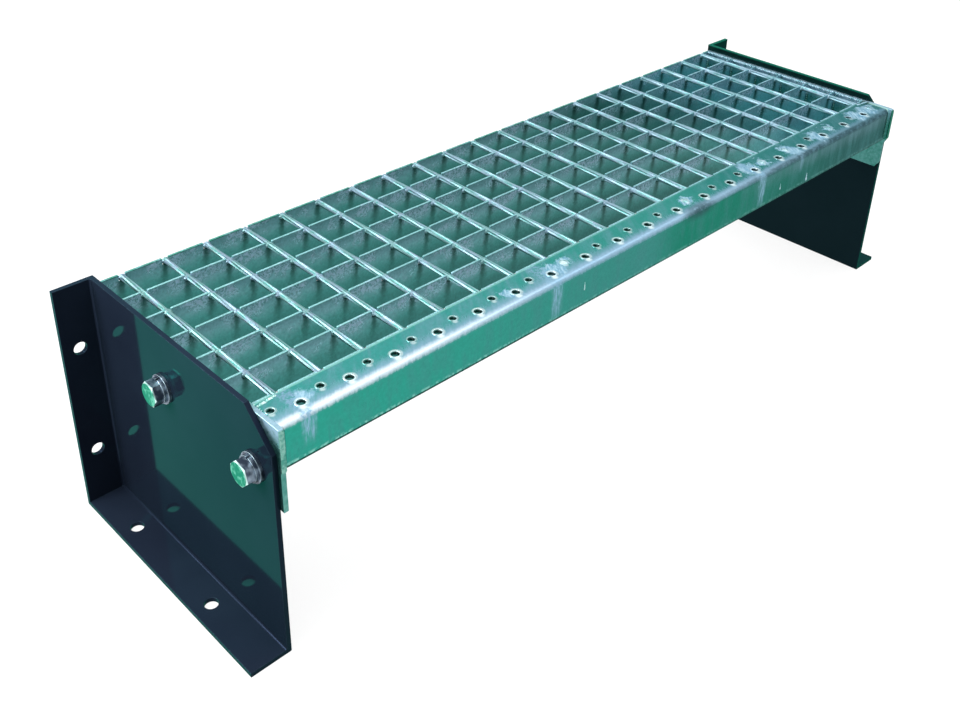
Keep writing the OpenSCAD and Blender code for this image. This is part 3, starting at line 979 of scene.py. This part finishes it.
def soften(bm, width, shortest):
    """Bevels the long sharp edges; a point layer marks the middle of each new round."""
    edge_layer = bm.verts.layers.float.new("edge")
    sharp = [edge for edge in bm.edges
             if edge.is_manifold and edge.calc_length() >= shortest
             and edge.calc_face_angle(0) > SHARP]
    rounds = set(bmesh.ops.bevel(bm, geom=sharp, offset=width, offset_type="OFFSET",
                                 segments=2, profile=0.5, affect="EDGES", material=-1,
                                 clamp_overlap=True)["faces"])
    for vert in bm.verts:
        vert[edge_layer] = float(bool(vert.link_faces) and rounds.issuperset(vert.link_faces))
    bmesh.ops.remove_doubles(bm, verts=bm.verts, dist=0.002 * MM)
    return len(sharp)


def softened_piece(node_name, width, shortest, finish):
    """A piece that stands for a CAD node: its copy, with rounds on its long edges."""
    bm = clean_copy(node_name)
    count = soften(bm, width, shortest)
    piece = show(bm, node_name + "_softened", finish, [node_name])
    piece.data.set_sharp_from_angle(angle=CREASE)
    level = piece.modifiers.new("flat_faces", "WEIGHTED_NORMAL")
    level.keep_sharp = True
    print("    and", count, "rounded edges")


print("rounds on edges of more than", round(math.degrees(SHARP)), "degrees")

# %% Brackets, end plates, bars and nosing
for side in ("left", "right"):
    softened_piece("bracket_" + side, width=0.4 * MM, shortest=0.1 * MM,
                   finish=coat_finish)
    softened_piece("end_plate_" + side, width=0.5 * MM, shortest=0.1 * MM,
                   finish=plate_finish)
for name in bar_names:
    softened_piece(name, width=0.35 * MM, shortest=1 * MM,
                   finish=bar_finish)
# The short edges of the punched holes stay sharp: their rims are pieces of their own.
softened_piece("nosing", width=0.4 * MM, shortest=6 * MM,
               finish=nosing_finish)

# %% [markdown]
# ## Twisted cross rods
#
# The cross rods are square wire, twisted cold before a press forges them into the bars.
# The twist is slow, over half a turn across the depth of the tread, so from above each rod
# shows as two or three bright lines that slide slowly across it. The sides of drawn
# square wire are a little hollow: the outline is a ring of twelve points, and every third
# one is pushed in, which leaves four corners with a small chamfer. A point layer
# remembers which points lie in a hollow, for the finish. The outline is spun round the
# axis of the rod while it moves along it, which is what the twisting machine does.

# %% Rods
ROD_SIDE = 4.3 * MM
ROD_TWIST = 400 * MM  # the length of a full turn
ROD_HOLLOW = 0.35 * MM
ROD_INSET = 0.2 * MM  # at both ends, which stay inside the box of the frame
ROD_RISE = 0.2 * MM  # with chamfered corners the rod lies this much higher than a sharp one
ACROSS = math.cos(math.radians(30))  # half a side of the square against the ring's radius
STEP_LENGTH = 5 * MM
RIDGE = math.radians(30)  # the ridges of the twist are shaded sharp


def twisted_rod(name, x, start, end, height, first_turn):
    """A twisted rod from start to end along y: its outline is spun while it moves on."""
    bm = bmesh.new()
    hollow = bm.verts.layers.float.new("hollow")
    ring = bmesh.ops.create_circle(bm, segments=12, radius=ROD_SIDE / 2 / ACROSS)["verts"]
    middles = ring[::3]
    inward = ACROSS * (1 - ROD_HOLLOW / (ROD_SIDE / 2))
    bmesh.ops.scale(bm, verts=middles, vec=(inward, inward, 1))
    for vert in middles:
        vert[hollow] = 1.0
    upright = Matrix.Rotation(math.radians(90), 3, "X")
    bmesh.ops.rotate(bm, verts=bm.verts, matrix=upright)
    bmesh.ops.rotate(bm, verts=bm.verts, matrix=Matrix.Rotation(first_turn, 3, "Y"))
    bmesh.ops.translate(bm, verts=bm.verts, vec=(x, start, height))
    steps = round((end - start) / STEP_LENGTH)
    bmesh.ops.spin(bm, geom=bm.verts[:] + bm.edges[:], cent=(x, start, height), axis=(0, 1, 0),
                   dvec=(0, (end - start) / steps, 0), steps=steps,
                   angle=(end - start) / ROD_TWIST * 2 * math.pi)
    bmesh.ops.holes_fill(bm, edges=bm.edges, sides=0)
    piece = show(bm, name + "_twisted", rod_finish, [name])
    piece.data.set_sharp_from_angle(angle=RIDGE)


print("a rod turns", round((plate_high.y - plate_low.y) / ROD_TWIST, 2), "times across the tread")

# %% All the rods
draw = random.Random(21)
rod_height = tread_top - ROD_SIDE / math.sqrt(2) + ROD_RISE
for name, x in zip(rod_names, rod_xs):
    low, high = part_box(name)
    twisted_rod(name, x, low.y + ROD_INSET, high.y - ROD_INSET, rod_height,
                first_turn=draw.uniform(0, math.pi / 2))

# %% [markdown]
# ## Forge welds at the crossings
#
# Where a rod is pressed into a bar, the hot steel swells up round it, and the zinc bath
# rounds the corner off with a drop of zinc. Each crossing gets a small lump, no two
# alike. A lump that is repeated more than a hundred times has only a few dozen faces, so
# it is a coarse sphere with smooth shading, squeezed and turned by a seeded draw.

# %% Crossings
WELD_SIZE = (4.0 * MM, 2.6 * MM, 2.8 * MM)
WELD_DEPTH = 3.2 * MM  # below the top of the tread
WELD_AHEAD = 0.3 * MM  # the press pushes the swelling a little to the front
WELD_SHIFT = 0.5 * MM  # and at most this far to one side


def lump(bm, place, size, jitter, levels=2):
    """Adds a small irregular ball of zinc: size is its half width along each axis."""
    made = bmesh.ops.create_icosphere(bm, subdivisions=levels, radius=1.0)["verts"]
    spread = [half * draw.uniform(1 - jitter, 1 + jitter) for half in size]
    bmesh.ops.rotate(bm, verts=made, matrix=Matrix.Rotation(draw.uniform(0, math.pi), 3, "Z"))
    bmesh.ops.scale(bm, verts=made, vec=spread)
    bmesh.ops.translate(bm, verts=made, vec=place)


def crossing_welds(bar_name, y):
    """The lumps where the rods cross one bar, as one piece."""
    bm = bmesh.new()
    for x in rod_xs:
        shift = draw.uniform(-1, 1) * WELD_SHIFT
        place = (x + shift, y - WELD_AHEAD, tread_top - WELD_DEPTH)
        lump(bm, place, WELD_SIZE, jitter=0.14)
    show(bm, "forge_welds_" + bar_name, rod_finish)


for name, y in zip(bar_names, bar_ys):
    crossing_welds(name, y)

# %% [markdown]
# ## Welds at the end plates
#
# A short fillet joins each bar to an end plate on either side. Beads of weld and zinc
# also close the gap at both ends of the nosing and at its rear corners, and one runs
# along the top of the right plate. A welder lays a bead drop by drop, so it is a row of
# overlapping lumps. It sits a little out of the plate, with its other half in the steel.

# %% Beads
WELD_LINE = 0.3 * MM  # from the face of a plate to the line of its welds
FILLET_LINE = 1.8 * MM  # from the middle of a bar to the line of its fillet
CORNER_WELD = 16 * MM  # the length of the weld at a rear corner of the nosing


def bead(bm, start, end, radius, pitch):
    """A weld bead: overlapping lumps in a row from start to end."""
    start, end = Vector(start), Vector(end)
    count = max(2, round((end - start).length / pitch))
    for number in range(count):
        place = start.lerp(end, (number + 0.5) / count)
        wander = [draw.uniform(-0.12, 0.12) * radius for _ in range(3)]
        lump(bm, place + Vector(wander), (radius, radius, radius), jitter=0.15)


print("welds lie", round(WELD_LINE / MM, 1), "mm out of the plates")

# %% Fillets, and welds round the nosing


def bar_fillets(side, sign):
    """Fillet welds that join the end of each bar to an end plate, one on either side."""
    bm = bmesh.new()
    x = sign * (plate_low.x - WELD_LINE)
    for bar_y in bar_ys:
        for face in (-1, 1):
            y = bar_y + face * FILLET_LINE
            if y < plate_high.y - 2 * MM:
                bead(bm, (x, y, bar_low.z + 2 * MM), (x, y, tread_top - 3 * MM),
                     radius=1.3 * MM, pitch=2.4 * MM)
    show(bm, "bar_fillets_" + side, plate_finish)


def plate_welds(side, sign):
    """Beads on the end and the rear corner of the nosing, and zinc along the right plate."""
    bm = bmesh.new()
    x = sign * (plate_low.x - WELD_LINE)
    top = tread_top - 1.5 * MM
    nosing_top = top + 0.3 * MM
    if side == "right":
        bead(bm, (x, nosing_high.y + 3 * MM, top), (x, plate_high.y - 2 * MM, top),
             radius=1.6 * MM, pitch=2.1 * MM)
    bead(bm, (x, face_y + 9 * MM, nosing_top), (x, nosing_high.y, nosing_top),
         radius=1.2 * MM, pitch=2.1 * MM)
    corner = Vector((x, nosing_high.y - 4 * MM, tread_top - 0.8 * MM))
    inward = Vector((-sign * CORNER_WELD, 2 * MM, 0))
    bead(bm, corner, corner + inward, radius=1.5 * MM, pitch=1.5 * MM)
    show(bm, "plate_welds_" + side, weld_finish)


for side, sign in (("left", -1), ("right", 1)):
    bar_fillets(side, sign)
    plate_welds(side, sign)

# %% [markdown]
# ## Collars and plugs of the nosing
#
# The holes of the nosing are punched so that their rims stand up: they grip a shoe sole,
# and water drains through them. The outline of a rim is a flat ellipse, and spinning it
# round the middle of the hole makes the ring. In the bath, zinc closed a few of the small
# holes: there, a flattened ball fills the hole.

# %% Collars and plugs
COLLAR_PLACE = 0.35  # from a hole's edge to the middle of its rim, in widths of the rim
PLUG_SIZE = (4.2 * MM, 4.2 * MM, 1.7 * MM)


def collar(bm, x, y, hole, width, height):
    """A raised rim: a flat ring round a hole, sunk to its middle in the sheet."""
    profile = bmesh.ops.create_circle(bm, segments=8, radius=1.0)["verts"]
    bmesh.ops.rotate(bm, verts=profile, matrix=Matrix.Rotation(math.radians(90), 3, "X"))
    bmesh.ops.scale(bm, verts=profile, vec=(width / 2, 1, height))
    away = hole / 2 + COLLAR_PLACE * width
    bmesh.ops.translate(bm, verts=profile, vec=(x + away, y, tread_top))
    edges = {edge for vert in profile for edge in vert.link_edges}
    bmesh.ops.spin(bm, geom=profile + list(edges), cent=(x, y, tread_top), axis=(0, 0, 1),
                   angle=2 * math.pi, steps=24, use_merge=True)


def nosing_collars():
    """The rims of both rows as one piece; a plugged hole has none."""
    bm = bmesh.new()
    for x in front_holes:
        collar(bm, x, front_row_y, FRONT_HOLE, width=draw.uniform(1.4, 1.8) * MM,
               height=draw.uniform(0.4, 0.6) * MM)
    for number, x in enumerate(rear_holes):
        if number not in PLUGGED:
            collar(bm, x, rear_row_y, REAR_HOLE, width=draw.uniform(1.1, 1.4) * MM,
                   height=draw.uniform(0.3, 0.5) * MM)
    show(bm, "hole_collars", nosing_finish)


def zinc_plugs():
    """The zinc in the closed holes, as one piece."""
    bm = bmesh.new()
    for number in PLUGGED:
        place = (rear_holes[number], rear_row_y, tread_top - 0.7 * MM)
        lump(bm, place, PLUG_SIZE, jitter=0.08, levels=3)
    show(bm, "zinc_plugs", weld_finish)


nosing_collars()
zinc_plugs()

# %% [markdown]
# ## Drips on the face
#
# Three drips froze while they ran down the face of the nosing. A drip is thin where it
# started and thick at its lower end, so it is a long drop with a fuller one over its
# lower half.

# %% Drips


def drip(bm, x, top, length, width, depth):
    """A drip on the face: a long thin drop and a thicker one over its lower half."""
    for start, share, swell in ((0.0, 1.0, 0.7), (0.5, 0.5, 1.0)):
        made = bmesh.ops.create_icosphere(bm, subdivisions=3, radius=1.0)["verts"]
        size = (swell * width / 2, swell * depth, share * length / 2)
        bmesh.ops.scale(bm, verts=made, vec=size)
        height = top - (start + share / 2) * length
        bmesh.ops.translate(bm, verts=made, vec=(x, face_y, height))


def zinc_drips():
    """Each drip has its place along the nosing, its depth below the top, and three sizes."""
    bm = bmesh.new()
    for x, below, length, width, depth in (
            (rear_holes[7] + 7 * MM, 13 * MM, 8 * MM, 1.6 * MM, 0.4 * MM),
            (rear_holes[15] + 18 * MM, 24 * MM, 9 * MM, 2.6 * MM, 0.8 * MM),
            (front_holes[14] - 10 * MM, 20 * MM, 7 * MM, 1.6 * MM, 0.4 * MM)):
        drip(bm, x, tread_top - below, length, width, depth)
    show(bm, "zinc_drips", weld_finish)


zinc_drips()

# %% [markdown]
# ## Bolts, nuts and washers
#
# Two bolts on each side hold the tread to its brackets, each with a spring washer under
# its head. Their solids in the frame are right, so they only get softened edges and the
# finish of plated parts. The long edges of the hexagons and the short ones of the bores
# are rounded alike, because a forged head has no sharp corner.

# %% Fasteners
FASTENER_NAMES = ("bolt", "nut", "head_washers", "spring_washers")
BOLT_ROUND = 0.5 * MM
NUT_ROUND = 0.25 * MM

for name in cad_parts:
    if name.startswith(FASTENER_NAMES):
        width = BOLT_ROUND if name.startswith("bolt") else NUT_ROUND
        softened_piece(name, width, shortest=0.1 * MM, finish=fastener_finish)
